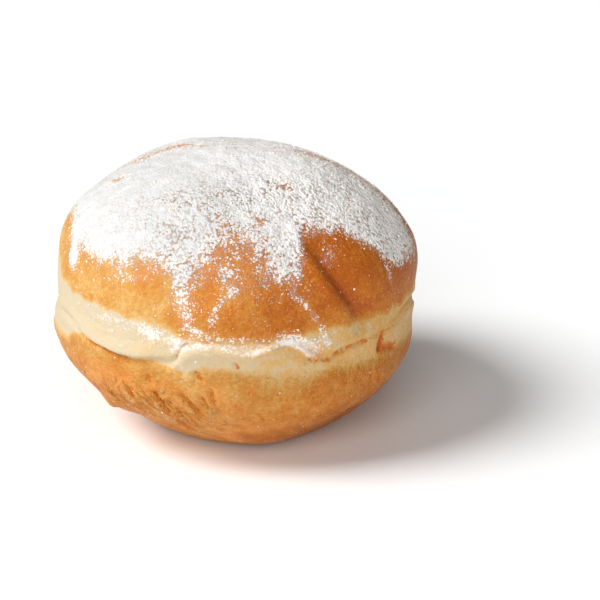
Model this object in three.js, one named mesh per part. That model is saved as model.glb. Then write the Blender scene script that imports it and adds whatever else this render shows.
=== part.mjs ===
// A round filled doughnut, fried on both sides: one solid of yeast dough, in millimetres, +Z up.
// The origin is on the table, under the middle of the doughnut, and -Y is its front.
// A place on the dough is an azimuth, in degrees from the front and positive to the right, with a height
// above the table. The jelly is shut inside, so the body is solid.
import * as THREE from 'three';

// ---- Driving sizes ------------------------------------------------------------------------------
const HEIGHT = 64.7; // table to the top of the crown
const FOOT_RADIUS = 21.6; // flat spot that the doughnut rests on
const FOOT_SHIFT = 2.2; // how far to the right of the middle the flat spot lies
const FOOT_SHIFT_HEIGHT = 24; // height over which the sides come back to the middle
const BELLY_RADIUS = 42.4; // widest ring of the lower half
const BELLY_HEIGHT = 23.4;
const SHOULDER_RADIUS = 42.3; // widest ring of the upper half
const SHOULDER_HEIGHT = 38.0;
const BOWL_TUCK = 2; // how far the lower half is drawn in under itself as it leaves the foot
const BOWL_RISE = 16; // reach of the lower half's side below the belly
const CROWN_RISE = 12; // reach of the crown's side above the shoulder
const CROWN_FLAT = 22.2; // reach of the crown's flat top from the axis
const FOOT_KEEP = 6; // height over which the relief comes in above the flat foot

// The pale seam runs round between the halves, where the floating dough stayed out of the oil.
const SEAM_HEIGHT = 30.2;
const SEAM_REACH = 9.5; // height over which the rows give way to the seam's wave
const LIP_OFFSET = 1.6; // middle of a lip, above or below the seam
const LIP_WIDTH = 1.7;
const LIP_HANG = 0.55; // how far a lip leans over the seam, for each millimetre that it stands out
const GROOVE_WIDTH = 1.1;

// The mesh: rows crowd together at the seam, and columns at the front furrow and along the front.
const COLUMNS = 118;
const FOOT_ROWS = 2;
const BOWL_ROWS = 13;
const SIDE_ROWS = 16;
const CROWN_ROWS = 19;
const SEAM_CROWDING = 0.5;
const FURROW_CROWDING = 1.6;
const FURROW_SPREAD = 14; // degrees either side of the front furrow over which the columns crowd
const FURROW_LEAN = 20; // degrees either side over which they lean with it
const FRONT_CROWDING = 0.35;
const FRONT_SPREAD = 90;

// ---- Courses round the dough: [azimuth, value] ---------------------------------------------------
const SEAM_COURSE = [
  [-165, 30.0], [-140, 31.2], [-115, 29.6], [-90, 28.2], [-74, 30.0], [-61, 31.4], [-53, 30.0],
  [-47, 28.7], [-30, 28.2], [-22, 29.2], [-17.5, 28.4], [-13.5, 32.2], [-8, 33.1], [0, 32.9], [6, 32.0],
  [11, 33.2], [17.5, 34.1], [21, 32.9], [25, 30.4], [30, 28.5], [37, 29.8], [49, 30.2], [57, 31.0],
  [70, 32.6], [80, 31.2], [90, 28.6], [110, 29.4], [130, 31.0], [150, 30.2], [170, 29.0],
];
// How far the upper half's lip, the lower half's lip and the groove between them go out or in.
const UPPER_LIP = [
  [-170, 0.7], [-145, 1.1], [-120, 0.4], [-90, 0.1], [-64, 0.3], [-50, 1.2], [-28, 1.2], [-20, 0.5],
  [-14, 0], [22, 0], [32, 0.5], [60, 0.3], [90, 0.5], [118, 1.0], [145, 0.1],
];
const LOWER_LIP = [
  [-175, 0.1], [-145, 0], [-118, 0.5], [-90, 0.7], [-62, 0.2], [-40, 0], [-18, 0.1], [-13, 1.0],
  [8, 1.1], [20, 0.8], [28, 0.2], [60, 0.5], [90, 0.6], [118, 0], [150, 0.9],
];
const GROOVE = [
  [-180, 0.6], [-150, 0.9], [-120, 0.5], [-90, 0.6], [-70, 0.3], [-55, 0.9], [-30, 0.8], [-18, 0.5],
  [-13, 0.4], [0, 0.5], [20, 0.6], [30, 0.8], [50, 0.4], [70, 0.8], [88, 1.5], [104, 0.7], [122, 0.4],
  [142, 0.9], [165, 0.4],
];

// ---- Broad swells and dents: azimuth, height, spread and rise ---------------------------------------
const SWELLS = [
  // Left side, from the belly's flat to the crown, then the crust lump at its foot.
  [-90, 9, 10, -2.8], [-90, 16, 9, -1.3], [-90, 24, 8, 2.4], [-90, 31, 8, -2.6], [-90, 40, 9, -0.8],
  [-90, 49, 9, 1.0], [-75, 47, 6, -1.0], [-62, 9, 9, -0.9], [-48, 10.5, 4, 1.1],
  // Round the front, near the table.
  [-45, 6, 9, -0.5], [-28, 4, 9, -1.2], [-20, 2, 7, -0.4], [12, 3, 9, 0.5], [20, 2.5, 7, 1.2],
  [32, 4, 9, -0.9], [50, 7, 7, -1.8], [70, 11, 9, -1.2],
  // Right side.
  [90, 17, 9, -0.5], [90, 24, 8, -0.4], [90, 31, 8, -1.2], [90, 40, 9, 1.1], [90, 49, 9, -0.7],
  // The crown, which is lowest at the back.
  [-145, 60, 11, 0.9], [118, 55, 11, -0.5], [135, 60, 8, -0.5], [160, 63, 9, -0.6], [-160, 63, 9, -0.8],
  // The front of both halves.
  [3, 41, 8, 0.6], [16, 38, 6, -0.7], [17, 45, 6, -0.8], [-34, 42, 9, 0.5], [-57, 46, 5, -0.8],
  [-30, 19, 7, 0.5], [-30, 11, 7, -0.5],
  // The back.
  [150, 42, 10, 0.8], [-150, 44, 8, -0.8], [175, 14, 10, -0.7],
];

// Furrows down the crown's side, where the risen dough folded. Each runs through [height, azimuth]
// stations, with a steep wall on its left and a gentle one on its right.
const FURROWS = [
  {
    run: [
      [54.5, 29.8], [50.2, 32.8], [46.4, 35.4], [43.9, 37.4], [41.2, 39.2], [38.2, 41], [35.6, 42], [32, 43],
    ],
    depth: 2.1, steep: 2.3, gentle: 6.0, ridge: 0.5,
  },
  { run: [[54, -130], [48, -132], [41, -135], [36, -136]], depth: 1.4, steep: 3.2, gentle: 7.0, ridge: 0.4 },
  { run: [[52, 122], [46, 125], [38, 126]], depth: 1.0, steep: 3.2, gentle: 7.0, ridge: 0.3 },
];
const FURROW_AZIMUTH = 37; // middle of the front furrow
const FURROW_FADE = 0.8; // the lower, the sooner a furrow is at its full depth
const RIDGE_OFFSET = 3.4; // crest of a furrow's ridge, left of the furrow
const RIDGE_WIDTH = 2.4;

// ---- Small helpers -----------------------------------------------------------------------------
const bell = (distance, width) => Math.exp(-((distance / width) ** 2));
const signed = (azimuth) => THREE.MathUtils.euclideanModulo(azimuth + 180, 360) - 180;

// The value at any azimuth of a closed course, on a smooth curve through its stations.
function around(course, azimuth) {
  const count = course.length;
  const at = (i) => course[(i + count) % count][0] + 360 * Math.floor(i / count);
  const value = (i) => course[(i + count) % count][1];
  const slope = (i) => (value(i + 1) - value(i - 1)) / (at(i + 1) - at(i - 1));
  const i = course.findLastIndex(([start]) => start <= azimuth);
  const gap = at(i + 1) - at(i);
  const t = (azimuth - at(i)) / gap;
  return value(i) * (1 + 2 * t) * (1 - t) ** 2
    + value(i + 1) * t * t * (3 - 2 * t)
    + gap * (slope(i) * t * (1 - t) ** 2 - slope(i + 1) * t * t * (1 - t));
}

// ---- The half profile: rows of radius and height from under the foot to the top of the crown ------------
function halfProfile() {
  const point = (radius, height) => new THREE.Vector2(radius, height);
  const foot = new THREE.LineCurve(point(0, 0), point(FOOT_RADIUS, 0));
  const bowl = new THREE.CubicBezierCurve(
    point(FOOT_RADIUS, 0),
    point(FOOT_RADIUS - BOWL_TUCK, 0),
    point(BELLY_RADIUS, BELLY_HEIGHT - BOWL_RISE),
    point(BELLY_RADIUS, BELLY_HEIGHT),
  );
  const side = new THREE.LineCurve(
    point(BELLY_RADIUS, BELLY_HEIGHT),
    point(SHOULDER_RADIUS, SHOULDER_HEIGHT),
  );
  const crown = new THREE.CubicBezierCurve(
    point(SHOULDER_RADIUS, SHOULDER_HEIGHT),
    point(SHOULDER_RADIUS, SHOULDER_HEIGHT + CROWN_RISE),
    point(CROWN_FLAT, HEIGHT),
    point(0, HEIGHT),
  );
  const even = (t) => t;
  const towardsSeam = (t) => t + (SEAM_CROWDING * Math.sin(2 * Math.PI * t)) / (2 * Math.PI);
  const rows = (curve, count, pace) => (
    Array.from({ length: count }, (_, i) => curve.getPointAt(pace(i / count)))
  );
  return [
    ...rows(foot, FOOT_ROWS, even), ...rows(bowl, BOWL_ROWS, even), ...rows(side, SIDE_ROWS, towardsSeam),
    ...rows(crown, CROWN_ROWS, even), point(0, HEIGHT),
  ];
}

const profile = halfProfile();

// Outward directions of the rows, square to the profile; the foot and the top look straight down and up.
const outward = profile.map((_, row) => {
  if (row <= FOOT_ROWS) return new THREE.Vector2(0, -1);
  if (row === profile.length - 1) return new THREE.Vector2(0, 1);
  const along = profile[row + 1].clone().sub(profile[row - 1]).normalize();
  return new THREE.Vector2(along.y, -along.x);
});

function radiusAt(height) {
  const row = profile.findIndex((p, i) => i > FOOT_ROWS && p.y >= height);
  const [low, high] = [profile[row - 1], profile[row]];
  return THREE.MathUtils.mapLinear(height, low.y, high.y, low.x, high.x);
}

function onDough(azimuth, height) {
  const angle = THREE.MathUtils.degToRad(azimuth);
  const radius = radiusAt(height);
  return new THREE.Vector3(radius * Math.sin(angle), -radius * Math.cos(angle), height);
}

const swells = SWELLS.map(([azimuth, height, spread, rise]) => (
  { centre: onDough(azimuth, height), spread, rise }
));

// ---- The relief ----------------------------------------------------------------------------------
function swellAt(place) {
  return swells.reduce((sum, swell) => (
    sum + swell.rise * bell(place.distanceTo(swell.centre), swell.spread)
  ), 0);
}

// A furrow's azimuth at a height; past its ends it keeps the azimuth that it ended with.
function furrowCourse({ run }, height) {
  const level = THREE.MathUtils.clamp(height, run.at(-1)[0], run[0][0]);
  const i = Math.max(1, run.findIndex(([station]) => station <= level));
  return THREE.MathUtils.mapLinear(level, run[i - 1][0], run[i][0], run[i - 1][1], run[i][1]);
}

function furrowAt(furrow, azimuth, height, radius) {
  const { run, depth, steep, gentle, ridge } = furrow;
  const [top, bottom] = [run[0][0], run.at(-1)[0]];
  if (height >= top || height <= bottom) return 0;
  const aside = THREE.MathUtils.degToRad(signed(azimuth - furrowCourse(furrow, height))) * radius;
  const fade = Math.sin(Math.PI * (top - height) / (top - bottom)) ** FURROW_FADE;
  const valley = bell(aside, aside < 0 ? steep : gentle);
  return fade * (ridge * bell(aside + RIDGE_OFFSET, RIDGE_WIDTH) - depth * valley);
}

// The seam's lips and groove at a height above or below the seam: how far out, and how far up.
function seamAt(azimuth, above) {
  const upper = around(UPPER_LIP, azimuth);
  const lower = around(LOWER_LIP, azimuth);
  const upperRoll = upper * bell(above - LIP_OFFSET, LIP_WIDTH);
  const lowerRoll = lower * bell(above + LIP_OFFSET, LIP_WIDTH);
  return {
    out: upperRoll + lowerRoll - around(GROOVE, azimuth) * bell(above, GROOVE_WIDTH),
    up: LIP_HANG * (lowerRoll - upperRoll),
  };
}

// Moves one point of the plain turned body to its place on the dough.
function shaped(azimuth, row) {
  const { x: radius, y: height } = profile[row];
  const angle = THREE.MathUtils.degToRad(azimuth);
  const radial = new THREE.Vector3(Math.sin(angle), -Math.cos(angle), 0);
  const place = radial.clone().multiplyScalar(radius).setZ(height);
  place.x += FOOT_SHIFT * (1 - THREE.MathUtils.smoothstep(height, 0, FOOT_SHIFT_HEIGHT));
  const offFoot = THREE.MathUtils.smoothstep(height, 0, FOOT_KEEP);
  const furrows = FURROWS.reduce((sum, furrow) => sum + furrowAt(furrow, azimuth, height, radius), 0);
  const rise = offFoot * (swellAt(place) + furrows);
  const seam = seamAt(azimuth, height - SEAM_HEIGHT);
  const lift = around(SEAM_COURSE, azimuth) - SEAM_HEIGHT;
  const wave = lift * bell(height - SEAM_HEIGHT, SEAM_REACH) * offFoot;
  return place
    .addScaledVector(radial, outward[row].x * rise + seam.out)
    .add(new THREE.Vector3(0, 0, outward[row].y * rise + seam.up + wave));
}

// Azimuths of the columns, one whole turn that starts at the front furrow.
function columnAzimuths() {
  const steps = 7200;
  const azimuthAt = (step) => signed(FURROW_AZIMUTH + (step * 360) / steps);
  const crowding = (azimuth) => 1 + FURROW_CROWDING * bell(azimuth - FURROW_AZIMUTH, FURROW_SPREAD)
    + FRONT_CROWDING * bell(azimuth, FRONT_SPREAD);
  const crowd = Array.from({ length: steps }, (_, step) => crowding(azimuthAt(step)));
  const share = crowd.reduce((sum, value) => sum + value) / COLUMNS;
  const azimuths = [];
  crowd.reduce((passed, value, step) => {
    if (passed >= azimuths.length * share) azimuths.push(azimuthAt(step));
    return passed + value;
  }, 0);
  return azimuths;
}

function doughGeometry() {
  const geometry = new THREE.LatheGeometry(profile, COLUMNS);
  const position = geometry.getAttribute('position');
  const azimuths = columnAzimuths();
  for (let column = 0; column <= COLUMNS; column += 1) {
    const plain = azimuths[column % COLUMNS];
    for (let row = 0; row < profile.length; row += 1) {
      // Columns near the front furrow lean with it, so that one of them runs along its bottom.
      const lean = furrowCourse(FURROWS[0], profile[row].y) - FURROW_AZIMUTH;
      const azimuth = signed(plain + lean * bell(signed(plain - FURROW_AZIMUTH), FURROW_LEAN));
      const { x, y, z } = shaped(azimuth, row);
      position.setXYZ(column * profile.length + row, x, y, z);
    }
  }
  // The dough's outline is uneven, so the body is slid to stand with its box centred on the origin.
  geometry.computeBoundingBox();
  const middle = geometry.boundingBox.getCenter(new THREE.Vector3());
  geometry.translate(-middle.x, -middle.y, -geometry.boundingBox.min.z);
  geometry.computeVertexNormals();
  return geometry;
}

const friedDough = new THREE.MeshStandardMaterial({ color: 0xc98438, roughness: 0.62, metalness: 0 });

const doughnut = new THREE.Mesh(doughGeometry(), friedDough);
doughnut.name = 'doughnut';

const root = new THREE.Group();
root.add(doughnut);
export default root;
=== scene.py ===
"""Dresses the frame of a filled doughnut: browned crust, pale seam, and a dusting of powdered sugar.

A place on the dough is an azimuth, in degrees from the front (-Y) and positive to the right (+X), with a
height above the table in millimetres. Meshes are in metres.
"""

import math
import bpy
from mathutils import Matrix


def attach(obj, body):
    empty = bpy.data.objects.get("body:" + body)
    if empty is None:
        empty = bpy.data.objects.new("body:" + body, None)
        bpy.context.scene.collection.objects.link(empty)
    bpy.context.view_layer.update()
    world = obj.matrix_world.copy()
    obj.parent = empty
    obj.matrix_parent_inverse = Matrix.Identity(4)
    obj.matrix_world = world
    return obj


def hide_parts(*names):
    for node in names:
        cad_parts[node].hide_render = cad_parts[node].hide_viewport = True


bl_info = {
    "name": "Filled Doughnut",
    "version": (1, 0, 0),
    "blender": (4, 5, 0),
    "location": "3D View > Sidebar > Doughnut",
    "description": "Dresses a filled doughnut in browned crust and powdered sugar",
    "category": "Add Mesh",
}

import bpy
import numpy as np
from mathutils import Vector

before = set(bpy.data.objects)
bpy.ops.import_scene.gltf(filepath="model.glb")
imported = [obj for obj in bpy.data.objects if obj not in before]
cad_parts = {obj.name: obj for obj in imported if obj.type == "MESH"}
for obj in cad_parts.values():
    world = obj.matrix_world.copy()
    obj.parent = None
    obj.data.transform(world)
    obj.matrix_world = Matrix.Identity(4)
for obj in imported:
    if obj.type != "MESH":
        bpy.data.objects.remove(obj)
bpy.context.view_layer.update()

MM = 0.001
DOUGH = "dough"

# ---- Courses round the dough: (azimuth, value)

# Lower edge of the crown's brown crust, where the pale seam begins.
CROWN_EDGE = [
    (-180, 36.0), (-150, 37.5), (-120, 39.0), (-95, 41.8), (-75, 41.4), (-68, 39.5), (-62, 38.6), (-54, 38.1),
    (-46, 38.3), (-41, 38.3), (-35, 37.8), (-26, 37.9), (-19, 36.4), (-13.5, 34.4), (-9, 34.1), (-1, 34.3),
    (7, 33.8), (15, 34.2), (26, 34.6), (34, 35.0), (43, 34.0), (52, 34.2), (63, 34.2), (74, 34.8), (95, 34.0),
    (120, 36.5), (150, 35.0),
]
# Upper edge of the lower half's crust.
BASE_EDGE = [
    (-180, 25.0), (-150, 23.5), (-120, 25.5), (-90, 25.0), (-65, 26.4), (-58, 28.8), (-48, 29.2), (-40, 28.8),
    (-31, 27.8), (-25, 28.8), (-18, 27.6), (-14, 27.4), (-9, 29.2), (-3, 29.2), (3, 28.6), (10, 27.6),
    (19, 26.6), (28, 27.0), (35, 26.8), (43, 26.0), (50, 25.4), (57, 26.2), (66, 25.4), (77, 24.8),
    (90, 25.0), (120, 25.5), (150, 24.5),
]
# How brown each half fried, from 0, cream, to 1, deep brown.
CROWN_TONE = [
    (-180, 0.70), (-130, 0.58), (-90, 0.46), (-60, 0.46), (-35, 0.46), (-20, 0.54), (-5, 0.66), (10, 0.80),
    (20, 0.98), (32, 1.00), (45, 0.96), (60, 0.97), (75, 0.94), (100, 0.84), (150, 0.76),
]
BASE_TONE = [
    (-180, 0.58), (-120, 0.54), (-60, 0.64), (-45, 0.60), (-30, 0.52), (0, 0.53), (20, 0.66), (35, 0.78),
    (60, 0.80), (90, 0.80), (140, 0.62),
]
SEAM_TONE = [
    (-180, 0.12), (-120, 0.06), (-60, 0.0), (-34, 0.0), (-25, 0.06), (-17, 0.03), (-10, 0.03), (0, 0.075),
    (14, 0.15), (30, 0.19), (60, 0.16), (100, 0.17), (150, 0.14),
]
# How dull the lower half's crust is.
BASE_HAZE = [(-180, 0.5), (-90, 0.5), (-40, 0.8), (-10, 0.8), (20, 0.45), (60, 0.35), (120, 0.5)]
# Lower edge of the dense sugar, and the height over which it thins out there.
SUGAR_EDGE = [
    (-180, 49.5), (-150, 47.0), (-120, 49.5), (-100, 47.0), (-92, 47.6), (-86, 49.6), (-82, 48.8),
    (-78, 46.8), (-73, 46.2), (-69, 47.0), (-65, 47.8), (-62, 47.0), (-55, 46.8), (-49, 46.8), (-44, 47.9),
    (-39, 47.8), (-35, 49.0), (-29, 49.4), (-22, 48.7), (-18, 47.8), (-14, 47.6), (-11, 48.6), (-8, 50.6),
    (-5, 52.4), (0, 53.4), (4, 53.4), (8, 52.2), (13, 50.6), (17, 49.0), (20, 48.2), (22, 47.6), (24, 48.8),
    (26, 50.4), (28, 52.2), (30.5, 54.2), (33, 54.6), (36, 54.0), (39, 53.6), (46, 53.4), (49, 52.2),
    (52, 50.4), (56, 48.8), (59, 46.8), (62, 44.6), (66, 43.4), (70, 43.0), (80, 42.0), (90, 43.0),
    (105, 46.0), (120, 49.0), (150, 47.0),
]
SUGAR_FADE = [
    (-180, 4.0), (-100, 4.0), (-66, 1.8), (-50, 2.4), (-30, 2.6), (-18, 4.5), (-8, 7.0), (10, 7.0), (20, 5.0),
    (26, 3.4), (40, 2.6), (60, 2.6), (80, 4.0), (130, 5.0),
]
# How worn and pitted the dense sugar is.
SUGAR_WEAR = [
    (-180, 0.6), (-110, 0.2), (-70, 0.25), (-40, 0.5), (-15, 0.9), (30, 0.9), (70, 1.0), (130, 0.8),
]
# Waves of an edge: (millimetres, waves in a turn, phase).
CROWN_RAGGED = [(0.30, 41.0, 0.0), (0.10, 97.0, 1.0)]
FLAP_RAGGED = [(0.5, 47.0, 0.0)]

# ---- Values that differ over one stretch: all round, there, and (from, to, fade) in degrees

CROWN_SOFTNESS = (1.6, 0.7, (-64, -36, 6.0))  # millimetres over which its brown comes in
BASE_SOFTNESS = (4.4, 0.7, (-60, -17, 3.0))
FOOT_BROWNING = (0.20, 0.08, (-34, -2, 8.0))  # how much browner the lower half gets towards its foot
SUGAR_TAIL = (0.20, 0.08, (24, 68, 8.0))  # the thin sugar below the dense cap's edge
LIP_DEPTH = (0.30, 1.00, (-50, -34, 4.0))  # how deeply the crown's lip is cut under

# ---- Lines over the dough: (azimuth, height) stations

# The crown hangs over the lower half here, and the lower half laps over the crown to its right.
CROWN_LIP = [
    (-62, 31.0), (-58.4, 30.0), (-55.1, 29.0), (-51, 29.2), (-45.1, 28.8), (-40.7, 28.8), (-36.8, 28.0),
    (-31.1, 27.6), (-27.5, 28.6), (-22.2, 28.6), (-18.8, 27.9), (-15.2, 26.6),
]
LAP_SIDE = [(-14.4, 26.2), (-15.3, 28.0), (-15.8, 29.8), (-15.2, 31.4), (-13.5, 32.6)]
LAP_EDGE = [
    (-13.5, 32.6), (-9.8, 33.4), (-5.7, 33.6), (-1.4, 33.1), (1.0, 32.7), (4.0, 32.1), (6.6, 32.0),
    (9.6, 32.6), (13.5, 33.5), (17.2, 34.0), (19.5, 33.2), (22.0, 31.8), (24.5, 29.9),
]
# A ragged slit on the right, with a shallow arm.
SLIT = [(52.1, 28.7), (51.5, 27.4), (51.5, 26.2)]
SLIT_ARM = [(51.8, 26.0), (55.0, 25.4), (58.6, 24.8)]
# Fine creases in the lap and in the crown's lip.
CREASES = [
    [(-12.0, 32.2), (-9.3, 32.4), (-4.2, 31.4), (-0.8, 30.4), (2.4, 28.4)],
    [(7.2, 29.5), (8.3, 30.6), (9.8, 31.3), (14.0, 31.5)],
    [(-44.5, 31.5), (-40.5, 32.0), (-36.3, 31.8), (-32.2, 32.4), (-29.0, 31.9)],
]
TORN_SEAM = [(23.6, 28.4), (27.5, 27.8), (32.2, 28.0), (34.6, 28.9), (39.0, 29.5), (45.1, 29.8)]
SIDE_CREASE = [
    (45.5, 29.7), (52.4, 30.1), (60.6, 30.1), (64.2, 30.8), (68.3, 31.4), (75, 31.2), (84, 29.8), (96, 28.8),
    (112, 29.6), (128, 30.8),
]
FURROW = [
    (30.3, 55.8), (30.5, 54.0), (31.7, 51.8), (33.1, 49.5), (34.5, 47.2), (36.2, 44.9), (38.1, 42.6),
    (39.9, 40.3), (41.5, 37.8), (42.0, 36.5), (42.5, 35.2),
]

# ---- Marks on the crust

# Wrinkles and pits of the lower half: from one place to another, with width and depth in millimetres.
WRINKLES = [
    ((-33.6, 20.0), (-32.8, 17.8), 0.80, 0.60), ((-42.6, 18.0), (-42.3, 17.2), 0.55, 0.45),
    ((-32.5, 15.4), (-30.7, 12.2), 0.55, 0.45), ((-30.7, 12.2), (-28.8, 9.8), 0.60, 0.50),
    ((-23.8, 20.2), (-22.5, 18.2), 0.75, 0.60), ((-22.5, 18.2), (-20.7, 15.3), 0.60, 0.62),
    ((-26.2, 18.6), (-25.4, 17.8), 0.75, 0.35), ((-15.3, 20.6), (-14.0, 19.3), 0.75, 0.45),
    ((-12.9, 18.5), (-10.4, 16.2), 0.70, 0.50), ((-17.6, 16.8), (-15.6, 13.4), 0.50, 0.38),
    ((-15.6, 13.4), (-14.0, 11.8), 0.50, 0.35), ((-18.5, 11.8), (-16.2, 9.0), 1.15, 0.85),
    ((-9.0, 20.8), (-7.2, 17.6), 0.45, 0.35), ((-6.1, 22.4), (-5.6, 19.2), 0.60, 0.40),
    ((-37.7, 16.6), (-37.3, 14.2), 0.45, 0.40), ((-41.2, 16.8), (-42.0, 14.2), 0.60, 0.40),
    ((-25.9, 24.1), (-25.6, 23.1), 0.70, 0.42), ((-10.4, 26.6), (-9.2, 25.4), 0.80, 0.34),
    ((1.4, 29.2), (2.4, 28.1), 0.55, 0.30), ((-37.1, 26.6), (-37.0, 25.8), 0.55, 0.35),
    ((-55.0, 29.2), (-53.0, 28.6), 0.70, 0.24), ((8.0, 16.0), (11.5, 13.4), 0.50, 0.30),
    ((48.0, 21.4), (48.6, 19.8), 0.60, 0.40), ((53.0, 18.6), (54.8, 16.8), 0.55, 0.40),
    ((120, 18.0), (123, 13.5), 0.50, 0.45), ((150, 21.0), (153, 18.0), 0.60, 0.50),
    ((-128, 19.0), (-124, 14.0), 0.45, 0.45), ((-150, 17.0), (-147, 14.5), 0.70, 0.60),
]
# The direction in which the lower half's fine wrinkles run.
WRINKLE_RUN = (0.60, 0.14, -0.785)
# Middle of the lower edge of the left flap of crust.
FLAP = (-48.5, 11.6)

# Soft spots: azimuth, height, half width and half height in millimetres, and lean in degrees.
# Where the crust is finely wrinkled:
WRINKLED = [(-26.0, 15.0, 15.0, 6.5, 0), (-136.0, 16.0, 9.0, 5.0, 0), (138.0, 17.0, 8.0, 5.0, 0)]
# A notch under the lip, filled with painted glow, and the furrow's foot, where its painted shade fans out:
LIP_NOTCH = (-53.4, 28.2, 0.9, 0.9, 0)
FURROW_FOOT = (46.5, 37.0, 4.0, 2.6, 0)
# Spots of sugar apart from the dense cap, and of bare crust in it, each with its amount.
SUGAR_PATCHES = [
    (-65.8, 45.0, 1.9, 4.4, -59, 0.80), (-35.5, 46.0, 5.0, 1.8, 0, 0.34), (-16.0, 44.6, 2.3, 5.6, -12, 0.36),
    (-13.0, 39.0, 1.4, 4.6, -20, 0.26), (-1.4, 48.2, 1.8, 1.6, 0, 0.34), (2.0, 46.5, 5.0, 2.6, 20, 0.20),
    (12.0, 46.5, 4.5, 3.0, 20, 0.20), (20.0, 48.4, 4.0, 2.2, 0, 0.22), (26.0, 43.6, 2.0, 2.0, 0, 0.24),
    (25.0, 32.4, 4.6, 2.3, 0, 0.34), (18.0, 33.8, 3.0, 1.2, 0, 0.20), (-28.5, 35.2, 4.4, 2.2, 0, 0.30),
    (-22.5, 34.4, 3.4, 2.6, 0, 0.36), (-46.0, 35.2, 4.5, 1.8, 0, 0.17), (-37.0, 33.6, 4.0, 2.2, 0, 0.17),
    (-58.0, 36.6, 4.0, 2.0, 0, 0.15), (-33.5, 30.4, 4.0, 1.2, 0, 0.14), (-38.0, 36.2, 6.0, 1.3, 0, 0.22),
    (-16.5, 32.6, 2.0, 3.4, 0, 0.22), (-9.1, 36.4, 3.2, 1.1, 10, 0.26), (4.0, 34.8, 4.0, 0.9, 0, 0.22),
    (37.4, 49.0, 3.2, 2.0, -40, 0.46), (64.0, 45.6, 3.0, 3.0, 0, 0.30), (58.4, 42.6, 0.9, 3.0, 0, 0.62),
    (-6.0, 42.0, 17.0, 6.0, 0, 0.09), (-48.0, 42.0, 7.0, 4.0, 0, 0.10),
    (110, 40.0, 3.0, 5.0, 20, 0.38), (145, 38.0, 1.6, 5.0, 10, 0.40), (-150, 40.0, 4.0, 2.0, 10, 0.40),
    (-115, 38.0, 2.0, 3.0, 0, 0.36), (170, 34.0, 6.0, 1.4, 0, 0.40), (-95, 34.0, 3.0, 1.6, 0, 0.36),
    (-86.5, 57.4, 2.0, 2.0, 30, -0.74), (-35.0, 58.9, 3.6, 1.6, 0, -0.46), (67.6, 56.3, 1.4, 0.7, 0, -0.60),
    (59.0, 59.2, 0.8, 0.6, 0, -0.60), (14.0, 56.7, 1.6, 0.6, 20, -0.50), (92, 46.0, 6.0, 4.0, 0, -0.42),
    (98, 51.0, 6.0, 4.0, 0, -0.52), (106, 56.5, 6.0, 4.5, 0, -0.52), (112, 61.5, 5.0, 3.0, 0, -0.50),
]
# Streaks of sugar, and of bare crust in the dense sugar: line, half width (mm), amount.
SUGAR_STREAKS = [
    ([(1.2, 45.5), (-2.2, 43.4), (-4.2, 41.6), (-6.0, 38.6)], 0.9, 0.34),
    ([(20.0, 43.6), (24.8, 40.1), (27.2, 37.1), (29.2, 34.5), (30.6, 31.4)], 1.1, 0.40),
    ([(-116, 53.6), (-109, 57.0), (-108, 60.0), (-114, 61.8), (-124, 62.8)], 2.0, -0.70),
    ([(27.6, 61.7), (33.0, 61.3), (39.8, 60.6)], 0.6, -0.60),
]
# Spots where the dense sugar is more worn, each with how much more.
SUGAR_WORN = [
    (-5.0, 60.6, 9.0, 2.6, 0, 0.70), (-30.0, 55.0, 13.0, 1.7, 0, 0.45), (-33.0, 59.0, 5.0, 1.0, 0, 0.50),
    (63.0, 49.5, 5.0, 4.0, 0, 0.60), (34.0, 59.6, 7.0, 2.2, 0, 0.45), (74.0, 58.0, 5.0, 2.0, 0, 0.50),
]

# ---- Heights over which things come in or die out, in millimetres

FOOT_HEIGHTS = (0.4, 5.0)  # the relief comes in
WEAR_HEIGHTS = (40.0, 45.0)  # the sugar's wear comes in
SMOOTH_HEIGHTS = (59.0, 63.5)  # the wear dies out
DULL_HEIGHTS = (43.0, 47.0)  # the painted shade on the sugar comes in
TOP_HEIGHTS = (57.0, 62.0)  # the painted shade comes in on the top too
FURROW_HEIGHTS = ((33.5, 37.5), (48.5, 52.5))  # the furrow's edge comes in, and dies out

# ---- Sections: sums of bells across a line, each (offset above or left of it, half width, height)

# Rises are in millimetres. Painted glows and painted shades are from 0 to 1.
LIP_SPAN = (-62, -15)
LIP_SWELL = [(0.9, 0.9, 0.14)]
LIP_GROOVE = [(-0.15, 0.34, -0.30)]
LIP_GLOW = [(-0.9, 0.85, 0.58)]
LIP_SHADE = [(-0.9, 0.60, 0.30)]
LAP_RISE = 0.34
LAP_REACH = 4.2  # over which the rise dies away
LAP_GROOVE = [(0.45, 0.45, -0.16)]
LAP_GLOW = [(0.5, 0.5, 0.34)]
LAP_SOFTENS = (9.0, 19.0)  # azimuths over which its edge grows soft
LAP_END = (17, 27, 5.0)  # where it sinks back into the dough
LAP_SINK = [(-1.4, 1.6, -0.9)]
SLIT_GLOW = [(0.0, 1.3, 0.95)]
ARM_GLOW = [(0.0, 1.6, 0.95)]
# Marks with one section from end to end: line, rise, painted glow and painted shade.
SEAM_MARKS = [
    *((crease, [(0.0, 0.30, -0.22)], [], [(0.0, 0.30, 0.12)]) for crease in CREASES),
    (
        TORN_SEAM,
        [(1.2, 0.9, 0.22), (0.0, 0.55, -0.32), (-1.3, 0.8, 0.16)],
        [(0.0, 0.85, 0.52)],
        [(0.0, 0.50, 0.26)],
    ),
    (SIDE_CREASE, [(0.0, 0.30, -0.16)], [(0.0, 0.5, 0.30)], []),
    (SLIT, [(0.0, 0.8, -0.55)], [], [(0.0, 0.9, 0.80)]),
    (SLIT_ARM, [(0.0, 1.0, -0.40)], [], [(0.0, 1.2, 0.45)]),
]
SEAM_REACH = 6.0  # how far the lip and the lap reach
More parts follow.
